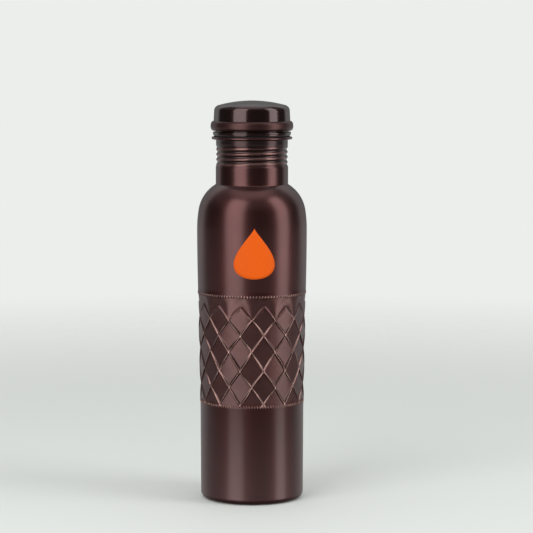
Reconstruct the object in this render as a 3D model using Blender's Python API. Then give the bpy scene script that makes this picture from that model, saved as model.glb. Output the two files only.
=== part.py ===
# Copper water bottle with a screw lid, built the way it comes apart on a bench:
# the drawn bottle, the sealing ring under the lid, the threaded plug and the cap shell over the plug.
# Units are metres, +Z is up, and the origin is the centre of the foot on the surface it stands on.

import math

import bmesh
import bpy

# Bottle, from the foot up
WALL = 0.0007                     # copper sheet, the same all over the bottle
BASE_RADIUS = 0.0349              # wall just above the base corner
BASE_CORNER = 0.0040
FOOT_INNER_RADIUS = 0.0240        # inside this ring the base is pressed up
RECESS_RADIUS = 0.0190            # flat middle of the pressed-up base
BASE_RECESS = 0.0015
BAND_BOTTOM = 0.0667              # middle of the lower milled line
BAND_HEIGHT = 0.0743              # from the lower milled line to the upper one
BAND_BOTTOM_RADIUS = 0.03515
BAND_TOP_RADIUS = 0.0363
UPPER_WALL_FOOT_RADIUS = 0.0367   # plain wall just above the upper milled line
UPPER_WALL_HEIGHT = 0.0430
BODY_RADIUS = 0.03725             # widest place, where the shoulder starts
SHOULDER_HEIGHT = 0.0302
SHOULDER_ROLL_HEIGHT = 0.0130     # the gentle start of the shoulder
SHOULDER_ROLL_RADIUS = 0.0820
NECK_RADIUS = 0.0245
NECK_LENGTH = 0.0124              # plain neck under the thread
NECK_FILLET = 0.0006
COLLAR_LENGTH = 0.0041            # plain neck between the thread and the lip
LIP_OVERHANG = 0.0028             # from the neck's wall to the lip's edge
LIP_THICKNESS = 0.0019
LIP_ROUND = 0.0006

# Milled lines round the bottle, plain low beads here
MILLED_LINE_HEIGHT = 0.0022
MILLED_LINE_RISE = 0.0003

# Embossed diamonds between the milled lines
DIAMOND_COLUMNS = 14
DIAMOND_HALF_HEIGHT = 0.01144
RIDGE_TO_PANE = 0.0010            # from the crest of a ridge to the edge of a pane
PANE_EDGE_DEPTH = 0.0004
PANE_CENTRE_DEPTH = 0.0007

# Thread, rolled in the neck's sheet and cut on the plug
THREAD_PITCH = 0.00345
THREAD_DEPTH = 0.0006
THREAD_SETTING = 0.00025          # crests stay this far inside the plain neck's wall
NECK_THREAD_TURNS = 4
PLUG_THREAD_TURNS = 3
THREAD_RUN_OUT = 0.5              # turns over which each end of the thread fades
THREAD_CLEARANCE = 0.0003
# Place along the pitch, and share of the depth there: sharp crests and broad roots
THREAD_SECTION = ((0.00, 1.0), (0.28, 0.8), (0.50, 0.0), (0.72, 0.8))

# Lid
SEAT_GAP = 0.0003                 # above and below the sealing ring, and where the cap meets the plug
SEAL_THICKNESS = 0.0007
SEAL_SETBACK = 0.00045            # the ring stays hidden behind the flange's edge
PLUG_WALL = 0.0008
PLUG_NOSE = 0.0012                # closed end of the plug, below its thread
PLUG_NOSE_CHAMFER = 0.0008
FLANGE_SETBACK = 0.00085          # from the lip's edge in to the flange's edge
FLANGE_THICKNESS = 0.0017
FLANGE_ROUND = 0.0005
COLLAR_HEIGHT = 0.0060            # plug's collar inside the cap, above the flange
CAP_WALL = 0.0007
CAP_LIFT = 0.0014                 # shadow gap between the flange and the cap's hem
CAP_HEIGHT = 0.0199               # hem to crown
CAP_OVERHANG = 0.0011             # from the neck's wall to the cap's side wall, at its corner
CAP_TAPER = 0.0003                # the side wall is this much wider just above the bead
CAP_CORNER = 0.0042
CAP_CROWN_RADIUS = 0.0850         # the crown is a shallow part of a sphere
BEAD_RISE = 0.00207               # from the side wall to the bead's face
BEAD_HEIGHT = 0.0054
BEAD_ROUND = 0.0007

ROUND_SEGMENTS = 40
FRONT = -math.pi / 2              # a diamond's crossing faces the front

# Heights that follow from the sizes above
BAND_TOP = BAND_BOTTOM + BAND_HEIGHT
SHOULDER_START = BAND_TOP + UPPER_WALL_HEIGHT
NECK_BASE = SHOULDER_START + SHOULDER_HEIGHT
THREAD_START = NECK_BASE + NECK_LENGTH
THREAD_END = THREAD_START + NECK_THREAD_TURNS * THREAD_PITCH
LIP_BOTTOM = THREAD_END + COLLAR_LENGTH
LIP_TOP = LIP_BOTTOM + LIP_THICKNESS
SEAL_BOTTOM = LIP_TOP + SEAT_GAP
FLANGE_BOTTOM = SEAL_BOTTOM + SEAL_THICKNESS + SEAT_GAP
FLANGE_TOP = FLANGE_BOTTOM + FLANGE_THICKNESS
CAP_BOTTOM = FLANGE_TOP + CAP_LIFT
BEAD_TOP = CAP_BOTTOM + BEAD_HEIGHT
CAP_TOP = CAP_BOTTOM + CAP_HEIGHT

# Radii that follow from the sizes above: the whole lid is sized from the neck
THREAD_CREST_RADIUS = NECK_RADIUS - THREAD_SETTING
NECK_BORE_RADIUS = THREAD_CREST_RADIUS - WALL
LIP_RADIUS = NECK_RADIUS + LIP_OVERHANG
FLANGE_RADIUS = LIP_RADIUS - FLANGE_SETBACK
SEAL_OUTER_RADIUS = FLANGE_RADIUS - SEAL_SETBACK
PLUG_CREST_RADIUS = NECK_BORE_RADIUS - THREAD_CLEARANCE
PLUG_ROOT_RADIUS = PLUG_CREST_RADIUS - THREAD_DEPTH
CAP_TOP_RADIUS = NECK_RADIUS + CAP_OVERHANG
CAP_FOOT_RADIUS = CAP_TOP_RADIUS + CAP_TAPER
BEAD_RADIUS = CAP_FOOT_RADIUS + BEAD_RISE


def clear_scene():
    for item in list(bpy.data.objects):
        bpy.data.objects.remove(item, do_unlink=True)


def metal(name, colour, roughness, metallic):
    material = bpy.data.materials.new(name)
    material.use_nodes = True
    shader = material.node_tree.nodes["Principled BSDF"]
    shader.inputs["Base Color"].default_value = (*colour, 1.0)
    shader.inputs["Roughness"].default_value = roughness
    shader.inputs["Metallic"].default_value = metallic
    return material


def finish_object(name, mesh, material, origin_height):
    # Closes the work on one solid: outward faces, smooth rounds, and the origin on the lid's axis.
    bmesh.ops.recalc_face_normals(mesh, faces=mesh.faces)
    bmesh.ops.triangulate(mesh, faces=[face for face in mesh.faces if len(face.verts) > 4])
    bmesh.ops.translate(mesh, verts=mesh.verts, vec=(0.0, 0.0, -origin_height))
    data = bpy.data.meshes.new(name)
    mesh.to_mesh(data)
    mesh.free()
    data.materials.append(material)
    data.shade_smooth()
    data.set_sharp_from_angle(angle=math.radians(35))
    item = bpy.data.objects.new(name, data)
    item.location = (0.0, 0.0, origin_height)
    bpy.context.scene.collection.objects.link(item)
    return item


def point(mesh, radius, height, angle):
    return mesh.verts.new((radius * math.cos(angle), radius * math.sin(angle), height))


def ring(mesh, radius, height, first=None):
    # A level ring of points, which may start from a point that is there already.
    step = 2 * math.pi / ROUND_SEGMENTS
    start = first or point(mesh, radius, height, FRONT)
    return [start] + [point(mesh, radius, height, FRONT + index * step)
                      for index in range(1, ROUND_SEGMENTS)]


def stitch(mesh, lower, upper):
    # Joins two rings that start at the same angle, and whose counts may differ.
    low, high = 0, 0
    while low < len(lower) or high < len(upper):
        next_low = (low + 1) / len(lower)
        next_high = (high + 1) / len(upper)
        a, b = lower[low % len(lower)], upper[high % len(upper)]
        c, d = lower[(low + 1) % len(lower)], upper[(high + 1) % len(upper)]
        if math.isclose(next_low, next_high):
            mesh.faces.new((a, c, d, b))
            low += 1
            high += 1
        elif next_low < next_high:
            mesh.faces.new((a, c, b))
            low += 1
        else:
            mesh.faces.new((a, d, b))
            high += 1


def turn(mesh, loop, outline):
    # Turns an outline of (radius, height) points on from a loop, and gives back its last ring.
    for radius, height in outline:
        following = ring(mesh, radius, height)
        stitch(mesh, loop, following)
        loop = following
    return loop


def close_centre(mesh, loop, height):
    centre = mesh.verts.new((0.0, 0.0, height))
    for index, vert in enumerate(loop):
        mesh.faces.new((vert, loop[(index + 1) % len(loop)], centre))


def arc(centre_radius, centre_height, radius, start, end, steps):
    # Points on a circle in the outline's plane. The angle is measured from outward, up is positive.
    angles = [start + (end - start) * index / steps for index in range(steps + 1)]
    return [(centre_radius + radius * math.cos(angle), centre_height + radius * math.sin(angle))
            for angle in angles]


def base_outline(inset):
    # From the pressed-up middle of the base, over the foot and the corner, to the wall.
    corner = arc(BASE_RADIUS - BASE_CORNER, BASE_CORNER, BASE_CORNER - inset, -math.pi / 2, 0.0, 3)
    return [(RECESS_RADIUS, BASE_RECESS + inset), (FOOT_INNER_RADIUS, inset)] + corner


def milled_line(middle, foot_radius, top_radius, inset):
    # A low bead, from the wall below it to the wall above it.
    half = MILLED_LINE_HEIGHT / 2
    crest = max(foot_radius, top_radius) + MILLED_LINE_RISE - inset
    return [(foot_radius - inset, middle - half), (crest, middle - half / 2),
            (crest, middle + half / 2), (top_radius - inset, middle + half)]


def shoulder_outline(inset):
    # Two arcs that run into each other, from the upright wall to the neck.
    turn_angle = math.asin(SHOULDER_ROLL_HEIGHT / SHOULDER_ROLL_RADIUS)
    roll_centre = BODY_RADIUS - SHOULDER_ROLL_RADIUS
    roll = arc(roll_centre, SHOULDER_START, SHOULDER_ROLL_RADIUS - inset, 0.0, turn_angle, 2)
    meet_radius = roll_centre + SHOULDER_ROLL_RADIUS * math.cos(turn_angle)
    meet_height = SHOULDER_START + SHOULDER_ROLL_HEIGHT
    along = (NECK_RADIUS - meet_radius, NECK_BASE - meet_height)
    outward = (math.cos(turn_angle), math.sin(turn_angle))
    reach = along[0] * outward[0] + along[1] * outward[1]
    radius = -(along[0] ** 2 + along[1] ** 2) / (2 * reach)
    centre_radius = meet_radius - radius * outward[0]
    centre_height = meet_height - radius * outward[1]
    end_cosine = (NECK_RADIUS + NECK_FILLET - inset - centre_radius) / (radius - inset)
    fall = arc(centre_radius, centre_height, radius - inset, turn_angle, math.acos(end_cosine), 5)
    fillet = (NECK_RADIUS - inset, fall[-1][1] + 2 * NECK_FILLET)
    return roll + fall[1:] + [fillet]


def band_radius(height):
    share = (height - BAND_BOTTOM) / BAND_HEIGHT
    return BAND_BOTTOM_RADIUS + (BAND_TOP_RADIUS - BAND_BOTTOM_RADIUS) * share


def add_diamonds(mesh, inset):
    # Rows of crossings a half diamond apart. Gives back the lowest and the highest row.
    low = BAND_BOTTOM + MILLED_LINE_HEIGHT / 2
    rows = int((BAND_HEIGHT - MILLED_LINE_HEIGHT) / DIAMOND_HALF_HEIGHT)
    columns = 2 * DIAMOND_COLUMNS
    step = 2 * math.pi / columns
    half_width = BAND_BOTTOM_RADIUS * step
    reach = half_width * DIAMOND_HALF_HEIGHT / math.hypot(half_width, DIAMOND_HALF_HEIGHT)
    share = 1 - RIDGE_TO_PANE / reach

    def place(row, column, depth):
        height = low + row * DIAMOND_HALF_HEIGHT
        return point(mesh, band_radius(height) - inset - depth, height, FRONT + column * step)

    edge = {(row, column): place(row, column, 0.0)
            for row in range(rows + 1) for column in range(columns)
            if (row + column) % 2 or row in (0, rows)}

    def crossing(row, column):
        return edge[row, column % columns]

    for row in range(rows + 1):
        for column in range(row % 2, columns, 2):
            left, right = crossing(row, column - 1), crossing(row, column + 1)
            if row == rows:
                below, above = crossing(row - 1, column), crossing(row, column)
                mesh.faces.new((left, below, above))
                mesh.faces.new((below, right, above))
                continue
            above = crossing(row + 1, column)
            pane_left = place(row, column - share, PANE_EDGE_DEPTH)
            pane_right = place(row, column + share, PANE_EDGE_DEPTH)
            pane_top = place(row + share, column, PANE_EDGE_DEPTH)
            mesh.faces.new((left, pane_left, pane_top, above))
            mesh.faces.new((right, above, pane_top, pane_right))
            if row == 0:
                middle = crossing(row, column)
                mesh.faces.new((left, middle, pane_left))
                mesh.faces.new((middle, right, pane_right))
                mesh.faces.new((middle, pane_right, pane_top, pane_left))
                continue
            below = crossing(row - 1, column)
            pane_bottom = place(row - share, column, PANE_EDGE_DEPTH)
            pane_centre = place(row, column, PANE_CENTRE_DEPTH)
            mesh.faces.new((below, pane_bottom, pane_left, left))
            mesh.faces.new((below, right, pane_right, pane_bottom))
            rim = (pane_left, pane_bottom, pane_right, pane_top)
            for index in range(4):
                mesh.faces.new((rim[index], rim[(index + 1) % 4], pane_centre))
    lowest = [crossing(0, column) for column in range(columns)]
    highest = [crossing(rows, column) for column in range(columns)]
    return lowest, highest


def fade(turns_in, turns):
    nearest_end = min(turns_in, turns - turns_in)
    return min(1.0, max(0.0, nearest_end / THREAD_RUN_OUT))


def add_thread(mesh, start, turns, radius_at):
    # Rows that climb one pitch in a turn: a row's end is the start of the row a turn above it.
    # The wedges below the first row and above the last one end in level rings, which it gives back.
    per_turn = len(THREAD_SECTION)
    last_row = (turns - 1) * per_turn
    count = ROUND_SEGMENTS

    def place(row, column):
        section_place, depth_share = THREAD_SECTION[row % per_turn]
        turns_in = row // per_turn + section_place + column / count
        radius = radius_at(depth_share, fade(turns_in, turns))
        angle = FRONT + column * 2 * math.pi / count
        return point(mesh, radius, start + turns_in * THREAD_PITCH, angle)

    seam = [place(row, 0) for row in range(turns * per_turn + 1)]
    inner = {(row, column): place(row, column)
             for row in range(last_row + 1) for column in range(1, count)}
    end_radius = radius_at(THREAD_SECTION[0][1], 0.0)
    bottom = ring(mesh, end_radius, start, first=seam[0])
    top = ring(mesh, end_radius, start + turns * THREAD_PITCH, first=seam[-1])

    def crossing(row, column):
        if column == 0:
            return seam[row]
        if column == count:
            return seam[row + per_turn]
        return inner[row, column]

    for column in range(count):
        for row in range(last_row):
            mesh.faces.new((crossing(row, column), crossing(row, column + 1),
                            crossing(row + 1, column + 1), crossing(row + 1, column)))
        following = (column + 1) % count
        under = [crossing(0, column + 1)]
        over = [crossing(last_row, column)]
        if column == count - 1:
            under = seam[1:per_turn + 1]
        if column == 0:
            over = seam[last_row:last_row + per_turn][::-1]
        if column > 0:
            under = under + [crossing(0, column)]
        if column < count - 1:
            over = over + [crossing(last_row, column + 1)]
        mesh.faces.new([bottom[column], bottom[following]] + under)
        mesh.faces.new([top[following], top[column]] + over)
    return bottom, top


def build_bottle(material):
    mesh = bmesh.new()
    mouths = []
    for inset in (0.0, WALL):
        base = base_outline(inset)
        loop = ring(mesh, *base[0])
        close_centre(mesh, loop, BASE_RECESS + inset)
        lower_line = milled_line(BAND_BOTTOM, BAND_BOTTOM_RADIUS, BAND_BOTTOM_RADIUS, inset)
        loop = turn(mesh, loop, base[1:] + lower_line[:-1])
        lowest, highest = add_diamonds(mesh, inset)
        stitch(mesh, loop, lowest)
        upper_line = milled_line(BAND_TOP, BAND_TOP_RADIUS, UPPER_WALL_FOOT_RADIUS, inset)
        loop = turn(mesh, highest, upper_line + shoulder_outline(inset))
        loop = turn(mesh, loop, [(NECK_RADIUS - inset, THREAD_START - THREAD_DEPTH)])

        def neck_radius(depth_share, strength):
            return THREAD_CREST_RADIUS - inset - THREAD_DEPTH * depth_share * strength

        bottom, top = add_thread(mesh, THREAD_START, NECK_THREAD_TURNS, neck_radius)
        stitch(mesh, loop, bottom)
        mouths.append(top)
    outside = turn(mesh, mouths[0], [(THREAD_CREST_RADIUS, LIP_BOTTOM),
                                     (LIP_RADIUS - LIP_ROUND, LIP_BOTTOM),
                                     (LIP_RADIUS, LIP_BOTTOM + LIP_THICKNESS / 2),
                                     (LIP_RADIUS - LIP_ROUND, LIP_TOP),
                                     (NECK_BORE_RADIUS + LIP_ROUND, LIP_TOP),
                                     (NECK_BORE_RADIUS, LIP_TOP - LIP_ROUND)])
    stitch(mesh, outside, mouths[1])
    return finish_object("bottle_body", mesh, material, 0.0)


def build_sealing_ring(material):
    mesh = bmesh.new()
    first = ring(mesh, NECK_BORE_RADIUS, SEAL_BOTTOM)
    last = turn(mesh, first, [(SEAL_OUTER_RADIUS, SEAL_BOTTOM),
                              (SEAL_OUTER_RADIUS, SEAL_BOTTOM + SEAL_THICKNESS),
                              (NECK_BORE_RADIUS, SEAL_BOTTOM + SEAL_THICKNESS)])
    stitch(mesh, last, first)
    return finish_object("sealing_ring", mesh, material, SEAL_BOTTOM)


def build_threaded_plug(material):
    mesh = bmesh.new()
    nose = THREAD_START - PLUG_NOSE
    collar_radius = CAP_TOP_RADIUS - CAP_WALL - SEAT_GAP
    collar_top = FLANGE_TOP + COLLAR_HEIGHT
    bore_radius = PLUG_ROOT_RADIUS - PLUG_WALL
    first = ring(mesh, PLUG_ROOT_RADIUS - PLUG_NOSE_CHAMFER, nose)
    close_centre(mesh, first, nose)
    loop = turn(mesh, first, [(PLUG_ROOT_RADIUS, nose + PLUG_NOSE_CHAMFER)])

    def plug_radius(depth_share, strength):
        return PLUG_ROOT_RADIUS + THREAD_DEPTH * (1 - depth_share) * strength

    bottom, top = add_thread(mesh, THREAD_START, PLUG_THREAD_TURNS, plug_radius)
    stitch(mesh, loop, bottom)
    loop = turn(mesh, top, [(PLUG_ROOT_RADIUS, FLANGE_BOTTOM),
                            (FLANGE_RADIUS - FLANGE_ROUND, FLANGE_BOTTOM),
                            (FLANGE_RADIUS, FLANGE_BOTTOM + FLANGE_THICKNESS / 2),
                            (FLANGE_RADIUS - FLANGE_ROUND, FLANGE_TOP),
                            (collar_radius, FLANGE_TOP),
                            (collar_radius, collar_top),
                            (collar_radius - PLUG_WALL, collar_top),
                            (collar_radius - PLUG_WALL, FLANGE_TOP),
                            (bore_radius, FLANGE_BOTTOM),
                            (bore_radius, nose + 2 * PLUG_WALL),
                            (bore_radius - PLUG_WALL, nose + PLUG_WALL)])
    close_centre(mesh, loop, nose + PLUG_WALL)
    return finish_object("threaded_plug", mesh, material, FLANGE_BOTTOM)


def crown_outline(inset, steps):
    # From the side wall round the corner and over the crown, ending just short of the middle.
    sphere_height = CAP_TOP - CAP_CROWN_RADIUS
    corner_radius = CAP_TOP_RADIUS - CAP_CORNER
    corner_height = sphere_height + math.sqrt((CAP_CROWN_RADIUS - CAP_CORNER) ** 2 - corner_radius ** 2)
    meet = math.atan2(corner_height - sphere_height, corner_radius)
    corner = arc(corner_radius, corner_height, CAP_CORNER - inset, 0.0, meet, 4)
    crown = arc(0.0, sphere_height, CAP_CROWN_RADIUS - inset, meet, math.pi / 2, steps)
    return corner + crown[1:-1]


def build_cap_shell(material):
    mesh = bmesh.new()
    inside = CAP_FOOT_RADIUS - CAP_WALL
    bead_inside = BEAD_RADIUS - CAP_WALL
    first = ring(mesh, inside, CAP_BOTTOM)
    outer = [(BEAD_RADIUS - BEAD_ROUND, CAP_BOTTOM), (BEAD_RADIUS, CAP_BOTTOM + BEAD_ROUND),
             (BEAD_RADIUS, CAP_BOTTOM + BEAD_HEIGHT / 2), (BEAD_RADIUS - BEAD_ROUND, BEAD_TOP),
             (CAP_FOOT_RADIUS, BEAD_TOP + BEAD_ROUND / 2)]
    loop = turn(mesh, first, outer + crown_outline(0.0, 3))
    close_centre(mesh, loop, CAP_TOP)
    inner = [(inside, CAP_BOTTOM + CAP_WALL), (bead_inside, CAP_BOTTOM + CAP_WALL),
             (bead_inside, BEAD_TOP - CAP_WALL), (inside, BEAD_TOP)]
    loop = turn(mesh, first, inner + crown_outline(CAP_WALL, 3))
    close_centre(mesh, loop, CAP_TOP - CAP_WALL)
    return finish_object("cap_shell", mesh, material, CAP_BOTTOM)


def main():
    clear_scene()
    antique_copper = metal("antique_copper", (0.075, 0.040, 0.036), 0.34, 1.0)
    polished_antique_copper = metal("polished_antique_copper", (0.080, 0.045, 0.040), 0.2, 1.0)
    bare_copper = metal("bare_copper", (0.60, 0.28, 0.18), 0.3, 1.0)
    silicone = metal("black_silicone", (0.02, 0.02, 0.02), 0.6, 0.0)
    build_bottle(antique_copper)
    lid = bpy.data.objects.new("lid_axis", None)
    lid.location = (0.0, 0.0, SEAL_BOTTOM)
    bpy.context.scene.collection.objects.link(lid)
    bpy.context.view_layer.update()
    for item in (build_sealing_ring(silicone), build_threaded_plug(bare_copper),
                 build_cap_shell(polished_antique_copper)):
        item.parent = lid
        item.matrix_parent_inverse = lid.matrix_world.inverted()


main()
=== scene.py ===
import math

import bmesh
import bpy
from mathutils import Matrix, Vector


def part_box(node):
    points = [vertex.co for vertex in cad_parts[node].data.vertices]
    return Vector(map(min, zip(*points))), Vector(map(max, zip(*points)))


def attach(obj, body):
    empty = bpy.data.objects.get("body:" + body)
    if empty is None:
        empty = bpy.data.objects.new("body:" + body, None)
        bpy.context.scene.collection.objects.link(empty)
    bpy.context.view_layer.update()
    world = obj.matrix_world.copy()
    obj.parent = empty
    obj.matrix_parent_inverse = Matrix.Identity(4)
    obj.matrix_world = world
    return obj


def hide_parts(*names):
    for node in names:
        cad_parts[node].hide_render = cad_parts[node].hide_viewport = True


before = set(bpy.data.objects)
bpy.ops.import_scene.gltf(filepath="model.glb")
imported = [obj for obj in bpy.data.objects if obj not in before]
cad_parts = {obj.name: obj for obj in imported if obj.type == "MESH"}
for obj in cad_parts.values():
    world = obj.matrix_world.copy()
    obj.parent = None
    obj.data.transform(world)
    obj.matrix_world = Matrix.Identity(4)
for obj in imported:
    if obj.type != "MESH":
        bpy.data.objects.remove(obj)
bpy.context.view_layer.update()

mm = 0.001
_, bodyHigh = (Vector(corner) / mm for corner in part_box("bottle_body"))
plugLow, _ = (Vector(corner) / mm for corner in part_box("threaded_plug"))
sealLow, sealHigh = (Vector(corner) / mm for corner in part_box("sealing_ring"))
capLow, capHigh = (Vector(corner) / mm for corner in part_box("cap_shell"))
print("frame: lip at", round(bodyHigh.z, 1), "mm, crown at", round(capHigh.z, 1), "mm")


# Helpers for nodes

def hexColour(code):
    parts = [int(code[i:i + 2], 16) / 255 for i in (1, 3, 5)]
    linear = [part / 12.92 if part <= 0.04045 else ((part + 0.055) / 1.055) ** 2.4 for part in parts]
    return (*linear, 1.0)


def addNode(tree, kind, inputs=None, **settings):
    node = tree.nodes.new(kind)
    for name, value in settings.items():
        setattr(node, name, value)
    for key, value in (inputs or {}).items():
        if isinstance(value, bpy.types.NodeSocket):
            tree.links.new(value, node.inputs[key])
        else:
            node.inputs[key].default_value = value
    return node


def workOut(tree, known, steps):
    # each step is a result's name, an operation and its values, which may be the names of earlier results
    for name, operation, *values in steps:
        values = [known[value] if isinstance(value, str) else value for value in values]
        if operation == "RAMP":
            labels = ("Value", "From Min", "From Max", "To Min", "To Max")
            node = addNode(tree, "ShaderNodeMapRange", dict(zip(labels, values)), interpolation_type="SMOOTHSTEP")
        else:
            node = addNode(tree, "ShaderNodeMath", dict(enumerate(values)), operation=operation)
        known[name] = node.outputs[0]
    return known


def startTree(name, inputs):
    tree = bpy.data.node_groups.new(name, "GeometryNodeTree")
    tree.interface.new_socket("Geometry", in_out="OUTPUT", socket_type="NodeSocketGeometry")
    for label, kind in inputs.items():
        tree.interface.new_socket(label, in_out="INPUT", socket_type="NodeSocket" + kind)
    return tree, tree.nodes.new("NodeGroupInput").outputs


def endTree(tree, geometry, material):
    plain = addNode(tree, "GeometryNodeRealizeInstances", {0: geometry})
    painted = addNode(tree, "GeometryNodeSetMaterial", {"Geometry": plain.outputs[0], "Material": material})
    addNode(tree, "NodeGroupOutput", {0: painted.outputs[0]})


def runTree(item, tree, values):
    # the tree's result becomes a plain mesh, and the modifier goes
    modifier = item.modifiers.new(tree.name, "NODES")
    modifier.node_group = tree
    for socket in tree.interface.items_tree:
        if socket.in_out == "INPUT" and socket.name in values:
            modifier[socket.identifier] = values[socket.name]
    item.update_tag()
    depsgraph = bpy.context.evaluated_depsgraph_get()
    plain = bpy.data.meshes.new_from_object(item.evaluated_get(depsgraph))
    item.modifiers.clear()
    item.data = plain
    return item


# Helpers for turned shapes. Outlines are lists of (radius, height) in millimetres.

def arcPoints(centre, radius, start, end, steps):
    angles = [math.radians(start + (end - start) * i / steps) for i in range(steps + 1)]
    return [(centre[0] + radius * math.cos(a), centre[1] + radius * math.sin(a)) for a in angles]


def roundedLine(corners, degreesPerStep=15):
    # each corner is (radius, height) or (radius, height, rounding)
    line = [corners[0][:2]]
    for before, corner, after in zip(corners, corners[1:], corners[2:]):
        if len(corner) < 3:
            line.append(corner)
            continue
        here = Vector(corner[:2])
        back = (Vector(before[:2]) - here).normalized()
        ahead = (Vector(after[:2]) - here).normalized()
        half = back.angle(ahead) / 2
        centre = here + (back + ahead).normalized() * corner[2] / math.sin(half)
        first = here + back * corner[2] / math.tan(half) - centre
        last = here + ahead * corner[2] / math.tan(half) - centre
        sweep = math.atan2(first.x * last.y - first.y * last.x, first.dot(last))
        steps = max(2, math.ceil(abs(math.degrees(sweep)) / degreesPerStep))
        for i in range(steps + 1):
            line.append(tuple(centre + Matrix.Rotation(sweep * i / steps, 2) @ first))
    line.append(corners[-1][:2])
    return line


def evenLevels(radius, low, high, count):
    return [(radius, low + (high - low) * i / count) for i in range(count + 1)]


def ringOf(mesh, radius, height, around):
    ring = []
    for i in range(around):
        angle = i * math.tau / around - math.pi
        spot = (math.sin(angle) * radius * mm, -math.cos(angle) * radius * mm, height * mm)
        ring.append(mesh.verts.new(spot))
    return ring


def angleOf(vert):
    return math.atan2(vert.co.x, -vert.co.y)


def zipRings(mesh, lower, upper):
    # joins two rings, whose points may be more or fewer and stand at other angles
    def angles(ring):
        first = [angleOf(vert) for vert in ring]
        return first + [first[0] + math.tau]

    lowAngles, highAngles = angles(lower), angles(upper)
    lower, upper = lower + lower[:1], upper + upper[:1]
    low = high = 0
    while low < len(lower) - 1 or high < len(upper) - 1:
        atEnd = high == len(upper) - 1
        ready = not atEnd and low < len(lower) - 1
        if ready and abs(lowAngles[low + 1] - highAngles[high + 1]) < 1e-5:
            mesh.faces.new((lower[low], lower[low + 1], upper[high + 1], upper[high]))
            low += 1
            high += 1
        elif atEnd or (ready and lowAngles[low + 1] < highAngles[high + 1]):
            mesh.faces.new((lower[low], lower[low + 1], upper[high]))
            low += 1
        else:
            mesh.faces.new((lower[low], upper[high + 1], upper[high]))
            high += 1


def turnLine(mesh, line, around, loop=None):
    for radius, height in line:
        ring = ringOf(mesh, radius, height, around)
        if loop:
            zipRings(mesh, loop, ring)
        loop = ring
    return loop


def closeCentre(mesh, loop, height):
    pole = mesh.verts.new((0, 0, height * mm))
    for i, vert in enumerate(loop):
        mesh.faces.new((vert, loop[(i + 1) % len(loop)], pole))


def turnedItem(name, line, around, sharpAngle=40):
    # a line that starts and ends near the axis is closed there, and any other line is a ring's section
    mesh = bmesh.new()
    first = ringOf(mesh, *line[0], around)
    last = turnLine(mesh, line[1:], around, first)
    if line[0][0] < 5:
        closeCentre(mesh, first, line[0][1])
        closeCentre(mesh, last, line[-1][1])
    else:
        zipRings(mesh, last, first)
    return finishItem(name, mesh, sharpAngle)


def finishItem(name, mesh, sharpAngle=40):
    bmesh.ops.recalc_face_normals(mesh, faces=mesh.faces)
    data = bpy.data.meshes.new(name)
    mesh.to_mesh(data)
    mesh.free()
    data.shade_smooth()
    data.set_sharp_from_angle(angle=math.radians(sharpAngle))
    item = bpy.data.objects.new(name, data)
    bpy.context.scene.collection.objects.link(item)
    return item


# Materials

def startMaterial(name):
    material = bpy.data.materials.new(name)
    material.use_nodes = True
    tree = material.node_tree
    return material, tree, tree.nodes["Principled BSDF"]


def setShader(tree, shader, inputs):
    for name, value in inputs.items():
        if isinstance(value, bpy.types.NodeSocket):
            tree.links.new(value, shader.inputs[name])
        else:
            shader.inputs[name].default_value = value


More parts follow.
